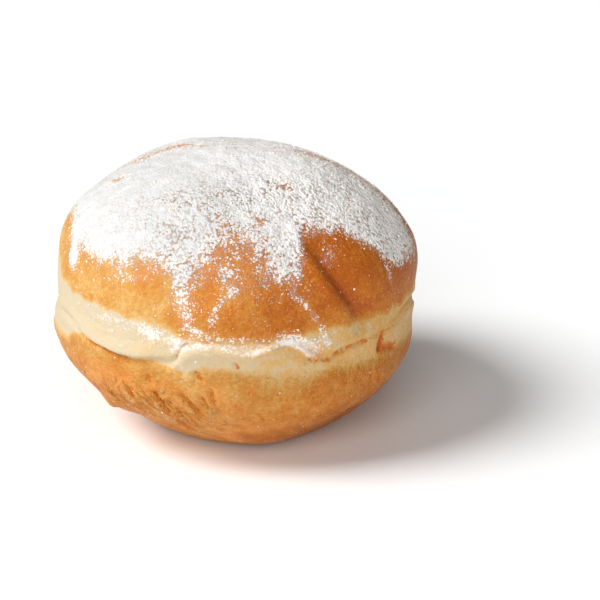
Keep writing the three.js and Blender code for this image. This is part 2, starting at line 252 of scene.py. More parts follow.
# Across a wrinkle, in widths and depths of it.
WRINKLE_RISE = [(2.1, 0.9, 0.32), (0.0, 1.0, -1.1)]
WRINKLE_GLOW = [(0.0, 1.1, 2.2)]
WRINKLE_SHADE = [(0.0, 0.6, 0.75)]
WRINKLE_REACH = 9.0
FURROW_EDGE = [(0.2, 0.6, -0.08)]
FURROW_SHADE = 0.60
FURROW_REACH = (3.0, 2.2)  # over which the painted shade dies away, left and right
FLAP_RISE = 0.75
FLAP_SPREAD = 4.5  # degrees
FLAP_REACH = 2.4
FADE_END = 20.0  # where the furrow's painted shade and the flap's rise stop fading
# Sugar caught on the lap's edge and side, and drifted above its edge.
RIM_EDGE = [(-0.5, 0.8, 0.28)]
RIM_SIDE = [(-0.4, 0.6, 0.252)]
RIM_DRIFT = [(1.2, 1.5, 0.26)]

# ---- Relief and colours

WELD = 1e-6  # metres between corners that are one
SUBDIVISIONS = 2
# Clouds that raise the skin: (size in millimetres, depth of their noise).
SWELL_CLOUD = (8.0, 2)
BLISTER_CLOUD = (2.4, 1)
LUMP_CLOUD = (3.0, 2)
BLISTER_TONES = (0.1, 0.3)  # browning at which the blisters die out
LUMP_AMOUNTS = (0.35, 0.95)  # amounts of sugar over which its lumps come in
LAID_AMOUNTS = (0.4, 1.0)  # amounts over which its thickness comes in
CLOD_SIZE = 0.68  # millimetres between the sugar's clods
# How far the crust is browned at each of its colours.
CRUST_STOPS = {"cream": 0.0, "straw": 0.07, "honey": 0.18, "golden": 0.42, "amber": 0.7, "brown": 1.0}

# ---- Sugar grains

# By piece: setting of the count, subdivisions, radii in millimetres, flatness, and chance on bare crust.
GRAIN_KINDS = {
    "sugar_grains": ("grains", 1, (0.05, 0.12), 0.8, 0.020),
    "sugar_crumbs": ("crumbs", 2, (0.12, 0.26), 0.6, 0.003),
}
GRAIN_SHAPES = 6  # of each kind
GRAIN_KNOBS = 5
KNOB_SWELL = 0.28
GRAIN_ROUGHNESS = 0.16
GRAIN_STRETCH = (0.75, 1.35)
GRAIN_RISE = 0.45  # of its middle off the skin, in its half heights
LOWEST_GRAIN = 2.0  # millimetres above the table
DENSE_AMOUNT = 0.95  # the sugar is dense above this amount
DENSE_CHANCE = 0.14  # chance of a grain there

# ---- Stage

# Suns: azimuth, height and spread in degrees, and colour. Their strengths are settings.
SUNS = {
    "key": (-76.0, 47.5, 27.0, (1.0, 0.99, 0.975)),
    "fill": (-8.0, 25.0, 50.0, (1.0, 1.0, 0.995)),
    "low": (-90.0, 24.0, 40.0, (1.0, 0.995, 0.985)),
    "warm": (85.0, 16.0, 40.0, (1.0, 0.70, 0.42)),
    "back": (180.0, 40.0, 50.0, (1.0, 1.0, 1.0)),
}
SKY_COLOUR = (0.97, 0.985, 1.0, 1.0)
TABLE_COLOURS = ((0.95, 0.968, 0.982), (0.96, 0.978, 0.992))
TABLE_SIZE = 6.0  # metres
SENSOR_WIDTH = 36.0  # millimetres
NEAREST = 0.01  # metres from the camera


# ---- Fields over the dough


def ramp(low, high, values):
    """0 below low and 1 above high, smoothly."""
    t = np.clip((values - low) / (high - low), 0.0, 1.0)
    return t * t * (3.0 - 2.0 * t)


def bell(values, width):
    return np.exp(-((values / width) ** 2))


def bells(off, section):
    """The height of a section at these distances off its line."""
    return sum(height * bell(off - offset, width) for offset, width, height in section)


def fading(distance, reach, end=math.inf):
    """1 up to a distance of 0, then dying away over this reach as far as its end."""
    return np.exp(-np.clip(distance, 0.0, end) / reach)


def waves(azimuth, parts):
    """The rise and fall of a ragged edge."""
    turn = np.radians(azimuth)
    return sum(rise * np.sin(turn * count + phase) for rise, count, phase in parts)


def turned(degrees):
    """Degrees brought to -180..180."""
    return (degrees + 180.0) % 360.0 - 180.0


def course(stations, azimuth):
    """The value of a closed course at these azimuths."""
    places, values = np.array(sorted(stations), float).T
    places = np.concatenate([places - 360.0, places, places + 360.0])
    return np.interp(azimuth, places, np.tile(values, 3))


class Skin:
    """Places on the dough with the directions out of it there, and fields over them."""

    def __init__(self, places, normals):
        self.count = len(places)
        self.places = places
        self.normals = normals
        x, y, self.height = places.T
        self.azimuth = np.degrees(np.arctan2(x, -y))
        self.radius = np.hypot(x, y)

    @classmethod
    def of(cls, mesh):
        """The skin at a mesh's vertices."""
        flat = np.empty((2, len(mesh.vertices) * 3), np.float32)
        mesh.vertices.foreach_get("co", flat[0])
        mesh.vertices.foreach_get("normal", flat[1])
        places, normals = flat.reshape(2, -1, 3).astype(float)
        return cls(places / MM, normals)

    def at(self, picked):
        """The skin at some of its places."""
        return Skin(self.places[picked], self.normals[picked])

    def unrolled(self, azimuth, height):
        """Millimetres to the right of and above a place, along the skin."""
        return np.radians(turned(self.azimuth - azimuth)) * self.radius, self.height - height

    def beside(self, line):
        """Millimetres from a line, positive above or left of its run."""
        nearest = signed = np.full(self.count, np.inf)
        for (azimuth, height), (next_azimuth, next_height) in zip(line, line[1:]):
            right, up = self.unrolled(azimuth, height)
            run = np.radians(next_azimuth - azimuth) * self.radius
            climb = next_height - height
            share = np.clip((right * run + up * climb) / (run * run + climb * climb + 1e-9), 0.0, 1.0)
            gap = np.hypot(right - share * run, up - share * climb)
            side = np.where(run * up - climb * right >= 0.0, 1.0, -1.0)
            closer = gap < nearest
            nearest = np.where(closer, gap, nearest)
            signed = np.where(closer, gap * side, signed)
        return signed

    def within(self, low, high, fade=2.0):
        """1 between two azimuths, fading to 0 just outside them."""
        span = (high - low) / 2.0
        off = np.abs(turned(self.azimuth - (low + high) / 2.0))
        return 1.0 - ramp(span, span + fade, off)

    def stretch(self, around, there, span):
        """One value all round, but another within a span of azimuths."""
        return around + (there - around) * self.within(*span)

    def patch(self, azimuth, height, width, rise, lean):
        """A soft oval spot whose long side leans from upright by so many degrees."""
        right, up = self.unrolled(azimuth, height)
        angle = math.radians(lean)
        across = right * math.cos(angle) - up * math.sin(angle)
        along = right * math.sin(angle) + up * math.cos(angle)
        return np.exp(-((across / width) ** 2) - (along / rise) ** 2)

    def patches(self, table):
        """The sum of soft spots, each with its strength last."""
        return sum(strength * self.patch(*spot) for *spot, strength in table)


def off_foot(skin):
    """0 on the flat foot, and 1 well above it."""
    return ramp(*FOOT_HEIGHTS, skin.height)


def sugar_amount(skin):
    """How thickly the sugar lies: over 1 where it hides the crust, and 0.5 at the dense cap's edge."""
    above = skin.height - course(SUGAR_EDGE, skin.azimuth)
    fade = course(SUGAR_FADE, skin.azimuth)
    amount = 0.5 + np.clip(above / fade, -1.0, 1.4) * 0.5
    tail = skin.stretch(*SUGAR_TAIL) * fading(-above - 1.0, 1.2 * fade + 2.0)
    amount = np.maximum(amount, tail)
    edge, side = skin.beside(LAP_EDGE), skin.beside(LAP_SIDE)
    amount = amount + np.maximum(bells(edge, RIM_EDGE), bells(side, RIM_SIDE)) + bells(edge, RIM_DRIFT)
    amount = amount + skin.patches(SUGAR_PATCHES)
    for line, width, strength in SUGAR_STREAKS:
        amount = amount + strength * bell(skin.beside(line), width)
    return np.clip(amount, 0.0, 1.25)


def under_base(skin):
    """Millimetres below the edge of the lower half's crust."""
    return course(BASE_EDGE, skin.azimuth) - skin.height


def browning(skin):
    """How brown the dough fried at each place: cream at the seam, darker above and below it."""
    over = skin.height - course(CROWN_EDGE, skin.azimuth) + waves(skin.azimuth, CROWN_RAGGED)
    edge = ramp(-1.0, 1.0, over / skin.stretch(*CROWN_SOFTNESS))
    crown = course(CROWN_TONE, skin.azimuth) * (0.78 * edge + 0.22 * ramp(0.5, 8.0, over))
    under = under_base(skin)
    edge = ramp(-0.3, 1.0, under / skin.stretch(*BASE_SOFTNESS))
    base = course(BASE_TONE, skin.azimuth) * (0.68 * edge + 0.32 * ramp(0.5, 8.0, under))
    base = base + skin.stretch(*FOOT_BROWNING) * ramp(8.0, 20.0, under)
    return np.maximum(np.maximum(crown, base), course(SEAM_TONE, skin.azimuth))


def haze(skin):
    """How dull the crust is: only the lower half's is."""
    return course(BASE_HAZE, skin.azimuth) * ramp(1.0, 7.0, under_base(skin))


def coarseness(skin):
    """How rough the crust is: the lower half is rougher than the crown."""
    return 1.0 + 1.4 * ramp(0.0, 3.0, under_base(skin))


def unshaded_sugar(skin):
    """0 where painted shade greys the sugar on the brightly lit left shoulder and the top, and 1 where it is
    white.
    """
    x, y, _ = skin.places.T
    left = ramp(-6.0, 18.0, -0.97 * x - 0.60 * y)
    top = (0.50 - 0.35 * ramp(0.0, 14.0, x)) * ramp(*TOP_HEIGHTS, skin.height)
    return 1.0 - np.maximum(left, top) * ramp(*DULL_HEIGHTS, skin.height)


def wear(skin):
    """How worn and pitted the sugar is: it is smooth on the top of the crown, and at the seam."""
    worn = course(SUGAR_WEAR, skin.azimuth) * (1.0 - 0.85 * ramp(*SMOOTH_HEIGHTS, skin.height))
    return (worn + skin.patches(SUGAR_WORN)) * ramp(*WEAR_HEIGHTS, skin.height)


def wrinkling(skin):
    """Where the lower half's crust is wrinkled, from 0 to 1."""
    spots = [skin.patch(*spot) for spot in WRINKLED]
    return np.clip(1.35 * np.max(spots, axis=0), 0.0, 1.0)


def seam_relief(skin):
    """Rise of the seam's lips, lap and creases in millimetres, and their painted glow and painted shade."""
    lip = skin.beside(CROWN_LIP)
    near = skin.within(*LIP_SPAN) * (np.abs(lip) < SEAM_REACH)
    deep = skin.stretch(*LIP_DEPTH)
    rise = near * (bells(lip, LIP_SWELL) + deep * bells(lip, LIP_GROOVE))
    glow = near * deep * bells(lip, LIP_GLOW) + 0.25 * skin.patch(*LIP_NOTCH)
    shade = near * deep * bells(lip, LIP_SHADE)

    firm = 1.0 - 0.85 * ramp(*LAP_SOFTENS, skin.azimuth)
    for line, strength in ((LAP_EDGE, 1.0), (LAP_SIDE, 1.2)):
        lap = skin.beside(line)
        near = (np.abs(lap) < SEAM_REACH) * firm
        # The lap stands out below its edge, or to the right of its side, and drops to the crown above.
        standing = LAP_RISE * ramp(-0.25, 0.25, -lap) * fading(-lap, LAP_REACH)
        rise += near * strength * (standing + bells(lap, LAP_GROOVE))
        glow += near * bells(lap, LAP_GLOW)
    rise += skin.within(*LAP_END) * bells(skin.beside(LAP_EDGE), LAP_SINK)

    glow += np.maximum(bells(skin.beside(SLIT), SLIT_GLOW), bells(skin.beside(SLIT_ARM), ARM_GLOW))
    for line, rises, glows, shades in SEAM_MARKS:
        off = skin.beside(line)
        rise += bells(off, rises)
        glow += bells(off, glows)
        shade += bells(off, shades)
    return rise, np.clip(glow, 0.0, 1.0), np.clip(shade, 0.0, 1.0)


def wrinkle_relief(skin):
    """Rise of the wrinkles and pits in millimetres, their painted glow, and the painted shade of the deepest.
    """
    rise, glow, shade = np.zeros((3, skin.count))
    for start, end, width, depth in WRINKLES:
        middle = skin.unrolled((start[0] + end[0]) / 2.0, (start[1] + end[1]) / 2.0)
        near = np.nonzero(np.hypot(*middle) < WRINKLE_REACH)[0]
        off = np.abs(skin.at(near).beside([start, end])) / width
        rise[near] += depth * bells(off, WRINKLE_RISE)
        glow[near] = np.maximum(glow[near], depth * bells(off, WRINKLE_GLOW))
        shade[near] = np.maximum(shade[near], depth * bells(off, WRINKLE_SHADE))
    return rise, np.clip(glow, 0.0, 1.0), np.clip(shade, 0.0, 0.7)


def furrow_relief(skin):
    """Rise of the front furrow's sharp left edge in millimetres, and the red-brown painted shade beside it.
    """
    off = skin.beside(FURROW)
    start, end = FURROW_HEIGHTS
    along = ramp(*start, skin.height) * (1.0 - ramp(*end, skin.height))
    shade = FURROW_SHADE * along * fading(np.abs(off), np.where(off < 0.0, *FURROW_REACH), FADE_END)
    return along * bells(off, FURROW_EDGE), shade + 0.35 * skin.patch(*FURROW_FOOT)


def flap_relief(skin):
    """Rise of a flap of crust low on the left, whose lower edge stands off the dough."""
    azimuth, height = FLAP
    over = skin.height - height - waves(skin.azimuth, FLAP_RAGGED)
    spread = bell(turned(skin.azimuth - azimuth), FLAP_SPREAD)
    return FLAP_RISE * spread * ramp(-0.2, 0.2, over) * fading(over, FLAP_REACH, FADE_END)


# ---- Mesh helpers


def select_only(piece):
    bpy.ops.object.select_all(action="DESELECT")
    piece.select_set(True)
    bpy.context.view_layer.objects.active = piece


def apply_modifier(piece, kind, **settings):
    select_only(piece)
    modifier = piece.modifiers.new(kind.lower(), kind)
    for name, value in settings.items():
        setattr(modifier, name, value)
    bpy.ops.object.modifier_apply(modifier=modifier.name)


def weight_group(piece, name, weights):
    """A vertex group that holds these weights, in a hundred steps."""
    group = piece.vertex_groups.new(name=name)
    steps = np.round(np.clip(weights, 0.0, 1.0) * 100).astype(int)
    for step in np.unique(steps):
        if step:
            group.add(np.nonzero(steps == step)[0].tolist(), step / 100.0, "REPLACE")
    return group.name


def store(mesh, name, values):
    attribute = mesh.attributes.new(name, "FLOAT", "POINT")
    attribute.data.foreach_set("value", np.asarray(values, np.float32))


def move_along_normals(mesh, skin, rise):
    places = (skin.places + skin.normals * rise[:, None]) * MM
    mesh.vertices.foreach_set("co", places.astype(np.float32).ravel())
    mesh.update()


def facing(direction):
    """The turn of a camera or sun that looks this way."""
    return direction.to_track_quat("-Z", "Y").to_euler()


def cloud_texture(name, size, depth):
    texture = bpy.data.textures.new(name, "CLOUDS")
    texture.noise_scale = size * MM
    texture.noise_depth = depth
    texture.noise_basis = "ORIGINAL_PERLIN"
    return texture


# ---- Shader helpers


class Wire:
    """A socket's value. Python's operators add the Math nodes that work on it."""

    def __init__(self, shader, socket):
        self.shader = shader
        self.socket = socket

    def math(self, operation, *values):
        sockets = dict(enumerate((self, *values)))
        return self.shader.add("Math", {"operation": operation}, sockets)

    def __add__(self, other):
        return self.math("ADD", other)

    __radd__ = __add__

    def __sub__(self, other):
        return self.math("SUBTRACT", other)

    def __rsub__(self, other):
        return self.shader.add("Math", {"operation": "SUBTRACT"}, {0: other, 1: self})

    def __mul__(self, other):
        return self.math("MULTIPLY", other)

    __rmul__ = __mul__

    def step(self, low, high):
        """0 below low and 1 above high, smoothly."""
        sockets = {"Value": self, "From Min": low, "From Max": high}
        return self.shader.add("MapRange", {"interpolation_type": "SMOOTHSTEP"}, sockets)

    def most(self, other):
        return self.math("MAXIMUM", other)

    def least(self, other):
        return self.math("MINIMUM", other)


class Shader:
    """A material under construction."""

    def __init__(self, name):
        self.material = bpy.data.materials.new(name)
        self.material.use_nodes = True
        self.tree = self.material.node_tree
        self.tree.nodes.clear()

    def add(self, kind, settings=None, sockets=None, output=0):
        """Adds a node. Its settings come first, then the values or wires of its sockets."""
        node = self.tree.nodes.new("ShaderNode" + kind)
        for name, value in (settings or {}).items():
            if name == "stops":
                elements = node.color_ramp.elements
                while len(elements) < len(value):
                    elements.new(0.5)
                for element, (place, colour) in zip(elements, value):
                    element.position = place
                    element.color = (*colour, 1.0)
            else:
                setattr(node, name, value)
        for name, value in (sockets or {}).items():
            if isinstance(value, Wire):
                self.tree.links.new(value.socket, node.inputs[name])
            else:
                node.inputs[name].default_value = value
        return Wire(self, node.outputs[output])

    def attribute(self, name):
        return self.add("Attribute", {"attribute_name": name}, output=2)

    def noise(self, size, detail=2.0, roughness=0.5, along=None, stretch=1.0):
        """Noise from 0 to 1 with features of so many millimetres, drawn out along any direction given."""
        place = self.add("TexCoord", output=3)
        if along:
            turn = Vector(along).to_track_quat("Z", "Y").to_euler()
            sockets = {"Vector": place, "Rotation": turn, "Scale": (1.0, 1.0, stretch)}
            place = self.add("Mapping", {"vector_type": "TEXTURE"}, sockets)
        sockets = {"Vector": place, "Scale": 1.0 / (size * MM), "Detail": detail, "Roughness": roughness}
        return self.add("TexNoise", sockets=sockets)

    def sway(self, size, detail, roughness):
        """Noise from -0.5 to 0.5."""
        return self.noise(size, detail, roughness) - 0.5

    def cells(self, size):
        """Rounded clods so many millimetres apart, from 0 in their middles to 1 between them."""
        sockets = {"Vector": self.add("TexCoord", output=3), "Scale": 1.0 / (size * MM)}
        return self.add("TexVoronoi", {"feature": "F1"}, sockets)

    def blend(self, factor, first, second):
        """The first colour where factor is 0, and the second where it is 1."""
        sockets = {0: factor}
        for place, colour in ((6, first), (7, second)):
            sockets[place] = colour if isinstance(colour, Wire) else (*colour, 1.0)
        return self.add("Mix", {"data_type": "RGBA"}, sockets, output=2)

    def surface(self, **sockets):
        """Ends in a Principled shader. Its sockets are named with underscores for spaces."""
        named = {name.replace("_", " "): value for name, value in sockets.items()}
        shader = self.add("BsdfPrincipled", sockets=named)
        end = self.tree.nodes.new("ShaderNodeOutputMaterial")
        self.tree.links.new(shader.socket, end.inputs["Surface"])
        return self.material


# ---- Settings


def colour_setting(name, description, default):
    return bpy.props.FloatVectorProperty(
        name=name, description=description, default=default, min=0.0, max=1.0, size=3, subtype="COLOR"
    )


def height_setting(name, description, default):
    return bpy.props.FloatProperty(
        name=name, description=f"{description}, in mm", default=default, min=0.0, soft_max=2.0
    )


def strength_setting(name, whence, default):
    return bpy.props.FloatProperty(
        name=name, description=f"Strength of the light {whence}", default=default, min=0.0
    )


class CrustSettings(bpy.types.PropertyGroup):
    """Colours and relief of the fried dough."""

    cream: colour_setting("Cream", "Dough that stayed out of the oil", (0.60, 0.50, 0.345))
    straw: colour_setting("Straw", "Dough that barely touched the oil", (0.635, 0.485, 0.285))
    honey: colour_setting("Honey", "Barely fried crust", (0.68, 0.405, 0.145))
    golden: colour_setting("Golden", "Lightly fried crust", (0.59, 0.286, 0.058))
    amber: colour_setting("Amber", "Well fried crust", (0.56, 0.182, 0.018))
    brown: colour_setting("Brown", "Darkest crust", (0.45, 0.108, 0.008))
    tan: colour_setting("Tan", "Duller crust of the lower half", (0.77, 0.27, 0.050))
    buff: colour_setting("Buff", "Lighter streaks of the lower half", (0.82, 0.40, 0.11))
    # Painted highlight on the crests of the lower half's wrinkles, and the colour of real fine dust.
    highlight_and_dust: colour_setting("Flakes", "Crests of the lower half's wrinkles, and fine dust", (0.82, 0.49, 0.20))
    # Painted shade, reddened, in the folds, tears, creases, slit, furrow and deepest pits.
    fold: colour_setting("Fold", "Bottom of folds and tears", (0.43, 0.085, 0.012))
    # Painted warm glow: bounce light inside the pits, and warm painted shade in the seam's crevices, slit and
    # tears.
    glow: colour_setting("Glow", "Inside of the lower half's pits", (0.62, 0.195, 0.020))
    swell: height_setting("Swell", "Height of the crust's soft unevenness", 0.40)
    blister: height_setting("Blisters", "Height of the crust's fine blisters", 0.09)


class SugarSettings(bpy.types.PropertyGroup):
    """The dusting of powdered sugar."""

    white: colour_setting("White", "Dry powdered sugar", (0.925, 0.92, 0.915))
    # Painted shade: a grey that tones the sugar down where the light falls strongest.
    dull: colour_setting("Dull", "Sugar that has drawn a little fat", (0.66, 0.66, 0.66))
    loose: colour_setting("Loose", "Thin loose grains, tinted by the crust under them", (0.84, 0.76, 0.66))
    pits: colour_setting("Pits", "Shade in the pits of the sugar", (0.40, 0.28, 0.20))
    depth: height_setting("Depth", "Thickness of the dense sugar", 0.10)
    lumps: height_setting("Lumps", "Height of the dense sugar's lumps", 0.55)
    grains: bpy.props.IntProperty(name="Grains", description="Loose grains of sugar", default=8000, min=0)
    crumbs: bpy.props.IntProperty(name="Crumbs", description="Clumps of sugar", default=1000, min=0)
    seed: bpy.props.IntProperty(name="Seed", description="Seed of the grains' random places", default=7)


class StageSettings(bpy.types.PropertyGroup):
    """Camera, light and table."""

    elevation: bpy.props.FloatProperty(
        name="Elevation", description="The camera's angle above the table", default=math.radians(22.0),
        subtype="ANGLE",
    )
    distance: bpy.props.FloatProperty(
        name="Distance", description="From the camera to its target", default=0.600, unit="LENGTH"
    )
    target: bpy.props.FloatVectorProperty(
        name="Target", description="What the camera looks at", default=(0.01517, 0.00036, 0.0271),
        subtype="XYZ",
    )
    lens: bpy.props.FloatProperty(name="Lens", description="Focal length, in mm", default=153.36)
    key: strength_setting("Key light", "from the left", 2.86)
    fill: strength_setting("Fill light", "from the front", 1.70)
    low: strength_setting("Low light", "from low on the left", 0.30)
    warm: strength_setting("Warm light", "from the right", 0.24)
    back: strength_setting("Back light", "from behind", 0.10)
    sky: strength_setting("Sky", "all round", 0.10)


# ---- Materials


def sugar_mask(shader, amount, wear):
    """Where sugar hides the crust, by its amount, its clods and noise of a few sizes."""
    drifts = shader.sway(3.4, 3.0, 0.55)
    clumps = shader.sway(1.2, 3.0, 0.6)
    grains = shader.sway(0.34, 2.0, 0.6)
    clods = shader.cells(CLOD_SIZE)
    mottle = drifts * 0.70 + clumps * 0.80 + grains * 1.30 + (0.48 - clods) * 0.55
    cover = (amount + mottle).step(0.46, 0.59) * (amount * 0.50 + 0.57).least(0.98)
    thin = ((1.2 - amount).most(0.0) * 1.6 + 0.55) * shader.noise(4.0, 2.0, 0.55).step(0.44, 0.62)
    gaps = (clods + grains * 0.60 + clumps * 1.65).step(0.66, 0.82)
    return cover * (1.0 - gaps * (thin * wear * 0.95).least(0.9))


def wrinkles(shader):
    """Slanting pits and crests of the lower half, each from 0 to 1."""
    where = shader.attribute("wrinkled")
    folds = shader.noise(1.5, 3.0, 0.55, WRINKLE_RUN, 2.8)
    pits = (folds + where * 0.10).step(0.62, 0.69) * where.step(0.15, 0.40)
    crests = (where * 0.08 + 1.0 - folds).step(0.62, 0.72) * where.step(0.10, 0.60)
    return pits, crests


def fried_colour(shader, look, brown, mottle):
    """The crust by how brown it fried, duller on the lower half."""
    tone = (brown + mottle * (brown * 2.2 + 0.13).least(0.9)).most(brown * 0.55)
    stops = [(place, getattr(look, name)) for name, place in CRUST_STOPS.items()]
    crust = shader.add("ValToRGB", {"stops": stops}, {"Fac": tone})
    dull = shader.blend((mottle + 0.5).step(0.25, 0.75), look.buff, look.tan)
    haze = shader.attribute("haze") * shader.noise(5.0, 3.0, 0.6).step(0.25, 0.65)
    return shader.blend(haze, crust, dull)


def folded_colour(shader, look, crust, creased):
    """The crust with a painted orange glow in its pits and crevices, and painted red-brown shade in its
    folds.
    """
    glow, fold = shader.attribute("glow"), shader.attribute("fold")
    broken = shader.sway(0.9, 3.0, 0.6) * 2.2
    glowing = (glow + broken * glow.step(0.0, 0.35)).step(0.35, 0.75).most(creased * 0.85)
    crust = shader.blend(glowing, crust, look.glow)
    frayed = shader.sway(0.8, 3.0, 0.6) * 1.1
    folded = (fold * 1.25 + frayed * fold.step(0.0, 0.4)).step(0.15, 0.95)
    return shader.blend(folded, crust, look.fold)


def sugar_colour(shader, sugar, amount, wear, clods):
    """The sugar, greyed by painted shade on the lit left shoulder and top, and with painted shade in its worn
    hollows.
    """
    thin = (0.9 - amount).most(0.0) * 1.2
    # Painted shade greys the sugar on the lit left shoulder and top.
    powder = shader.sway(3.4, 3.0, 0.5) * 1.3 + shader.attribute("dry") + thin
    white = shader.blend(powder, sugar.dull, sugar.white)
    hollows = clods.step(0.60, 0.80) * shader.noise(3.6, 3.0, 0.6).step(0.40, 0.60)
    return shader.blend((hollows * wear * 0.65).least(0.9), white, sugar.pits)


def crust_material(look, sugar):
    shader = Shader("crust")
    brown, amount, wear = (shader.attribute(name) for name in ("browning", "sugar", "wear"))
    blotch = shader.sway(3.6, 4.0, 0.66)
    freckle = shader.sway(0.8, 3.0, 0.65)
    mottle = shader.sway(11.0, 3.0, 0.6) * 0.70 + blotch + freckle * 0.80
    creased, crests = wrinkles(shader)
    # Painted highlights along the crests of the lower half's wrinkles.
    crust = shader.blend(crests * 0.45, fried_colour(shader, look, brown, mottle), look.highlight_and_dust)
    crust = folded_colour(shader, look, crust, creased)

    # The crust that shows through gaps in the dense sugar lies in their shade.
    crust = shader.blend(amount.step(0.7, 1.15) * 0.70, crust, sugar.pits)
    dust = shader.noise(0.55, 2.0, 0.6).step(0.56, 0.70) * (amount * 0.50 + 0.20).least(0.4)
    crust = shader.blend(dust, crust, look.highlight_and_dust)
    mask = sugar_mask(shader, amount, wear)
    pale = 1.0 - brown.step(0.08, 0.26)
    veil = (amount + (blotch + freckle) * 0.80 - 0.25).step(0.0, 0.4) * (pale * 0.70 + 0.14)
    clods = shader.cells(CLOD_SIZE) + (freckle + blotch) * 0.5
    white = sugar_colour(shader, sugar, amount, wear, clods)

    pores = shader.noise(0.5, 3.0, 0.6) * 0.20 + shader.noise(1.8, 4.0, 0.65) * 0.55
    pores = pores * (brown * 1.2 + 0.75).least(1.0) * shader.attribute("coarse")
    grain = shader.noise(0.5, 3.0, 0.7) * 0.14 + shader.noise(2.8, 3.0, 0.6) * 1.15 - clods * 0.22
    grain = grain * (wear * 0.6 + 0.45) + 0.10
    height = pores * (1.0 - mask) + grain * mask + crests * 0.40 - creased * 0.45
    return shader.surface(
        Base_Color=shader.blend(mask.most(veil), crust, white),
        Roughness=mask * 0.40 + 0.55 - brown * 0.10 * (1.0 - mask),
        Specular_IOR_Level=0.16,
        Subsurface_Weight=0.08,
        Subsurface_Radius=(1.0, 0.45, 0.18),
        Subsurface_Scale=0.0022,
        Normal=shader.add("Bump", sockets={"Height": height, "Distance": MM, "Strength": 1.0}),
    )


def sugar_material(sugar):
    shader = Shader("powdered_sugar")
    return shader.surface(
        Base_Color=shader.blend(shader.noise(9.0, 2.0, 0.5).step(0.4, 0.8), sugar.loose, sugar.white),
        Roughness=0.9,
        Specular_IOR_Level=0.3,
        Subsurface_Weight=0.4,
        Subsurface_Radius=(1.0, 1.0, 1.0),
        Subsurface_Scale=0.0004,
        Normal=shader.add("Bump", sockets={"Height": shader.noise(0.12, 2.0, 0.6) * 0.05, "Distance": MM}),
    )


def table_material():
    shader = Shader("table")
    colour = shader.blend(shader.noise(120.0, 2.0, 0.5), *TABLE_COLOURS)
    return shader.surface(Base_Color=colour, Roughness=0.9, Specular_IOR_Level=0.1)


# ---- Operators


class DOUGHNUT_OT_dough(bpy.types.Operator):
    """Makes the fried dough: the frame's solid, refined, with its lips, furrow, wrinkles and crust"""

    bl_idname = "doughnut.dough"
    bl_label = "Dough"

    def execute(self, context):
        look = context.scene.doughnut_crust
        sugar = context.scene.doughnut_sugar
        piece = bpy.data.objects.new(DOUGH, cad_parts["doughnut"].data.copy())
        context.collection.objects.link(piece)
        select_only(piece)
        bpy.ops.object.mode_set(mode="EDIT")
        bpy.ops.mesh.select_all(action="SELECT")
        bpy.ops.mesh.remove_doubles(threshold=WELD)
        bpy.ops.mesh.tris_convert_to_quads(face_threshold=math.pi, shape_threshold=math.pi)
        bpy.ops.object.mode_set(mode="OBJECT")
        bpy.ops.mesh.customdata_custom_splitnormals_clear()
        bpy.ops.object.shade_smooth()
        apply_modifier(piece, "SUBSURF", levels=SUBDIVISIONS, render_levels=SUBDIVISIONS)

        skin = Skin.of(piece.data)
        free = weight_group(piece, "free", off_foot(skin))
        dense = weight_group(piece, "dense", ramp(*LUMP_AMOUNTS, sugar_amount(skin)))
        pale = 1.0 - 0.7 * ramp(*BLISTER_TONES, browning(skin))
        clear = weight_group(piece, "clear", off_foot(skin) * pale)
        self.relieve(piece, sugar.depth)
        for group, cloud, rise in (
            (free, SWELL_CLOUD, look.swell),
            (clear, BLISTER_CLOUD, look.blister),
            (dense, LUMP_CLOUD, sugar.lumps),
        ):
            apply_modifier(
                piece, "DISPLACE", texture=cloud_texture("relief", *cloud), texture_coords="LOCAL",
                vertex_group=group, strength=rise * MM, mid_level=0.5,
            )
        piece.vertex_groups.clear()
        piece.data.materials.clear()
        piece.data.materials.append(crust_material(look, sugar))
        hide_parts("doughnut")
        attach(piece, "root")
        return {"FINISHED"}

    def relieve(self, piece, depth):
        """Presses in the seam and wrinkles, lays the sugar on, and stores the fields of the look."""
        skin = Skin.of(piece.data)
        amount = sugar_amount(skin)
        seam, lit, seam_shade = seam_relief(skin)
        wrinkle, glow, pit_shade = wrinkle_relief(skin)
        furrow, shade = furrow_relief(skin)
        laid = depth * ramp(*LAID_AMOUNTS, amount)
        rise = seam + wrinkle + furrow + flap_relief(skin) + laid
        move_along_normals(piece.data, skin, rise * off_foot(skin))
        store(piece.data, "sugar", amount)
        store(piece.data, "browning", browning(skin))
        # Painted shade of the seam, the deepest wrinkles and the furrow, and painted glow in the pits and
        # crevices.
        store(piece.data, "fold", np.clip(seam_shade + pit_shade + shade, 0.0, 1.0))
        store(piece.data, "glow", np.maximum(glow, lit))
        store(piece.data, "haze", haze(skin))
        store(piece.data, "coarse", coarseness(skin))
        # How far the sugar stays white, free of its painted shade.
        store(piece.data, "dry", unshaded_sugar(skin))
        store(piece.data, "wear", wear(skin))
        store(piece.data, "wrinkled", wrinkling(skin))


